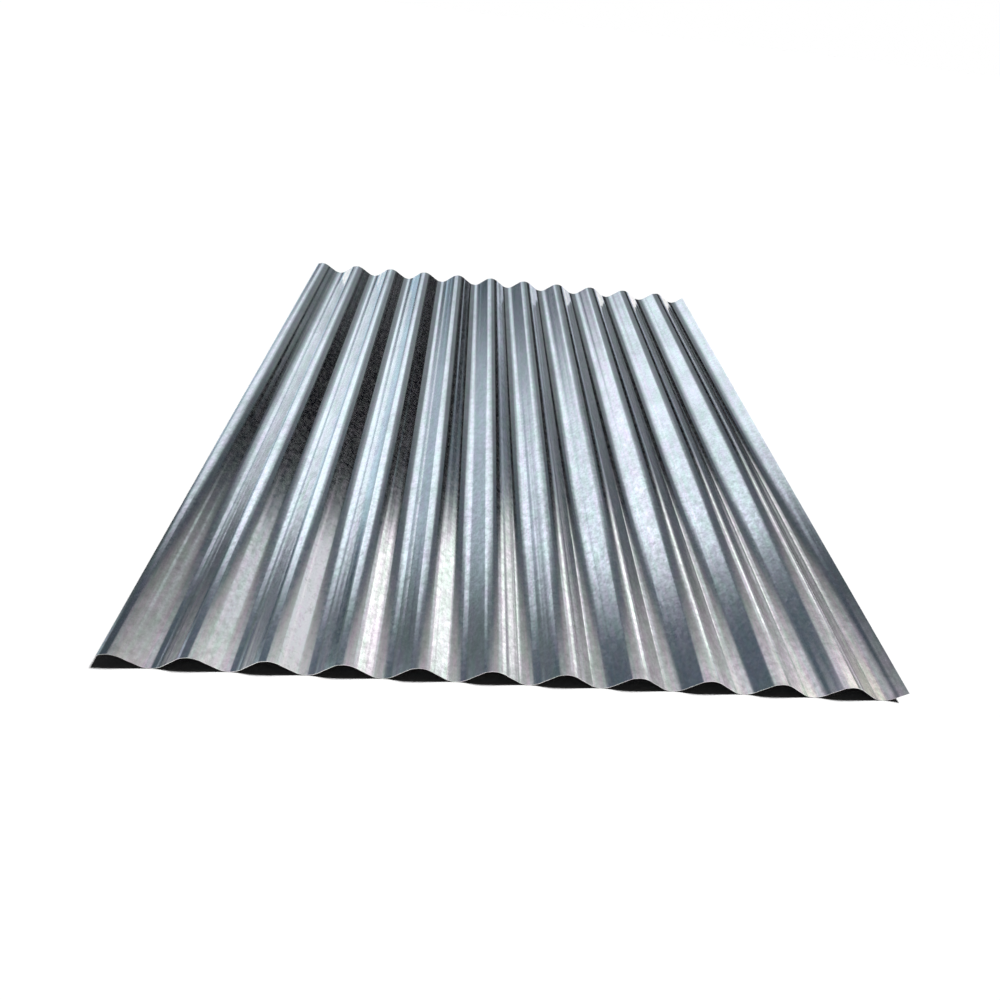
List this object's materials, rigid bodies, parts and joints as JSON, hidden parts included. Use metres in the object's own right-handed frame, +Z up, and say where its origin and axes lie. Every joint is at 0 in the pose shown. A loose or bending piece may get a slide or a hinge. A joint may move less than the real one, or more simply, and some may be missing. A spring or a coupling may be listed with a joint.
{
  "type": "corrugated metal sheet",
  "caption": "Galvanised steel roofing sheet rolled into parallel round corrugations, laid over battens to shed rain and lapped at its sides.",
  "frame": {"origin": "on the ground under the middle of the sheet, which lies on its troughs", "axes": "+X across the corrugations, +Y along them away from the end nearest the viewer, +Z up"},
  "size_m": [0.832, 1.2, 0.0185],
  "materials": {
    "galvanised_steel": "bright zinc coating with a fine spangle and faint rolling streaks along the corrugations"
  },
  "bodies": {
    "root": {"corrugated_sheet": "galvanised_steel"}
  },
  "joints": []
}
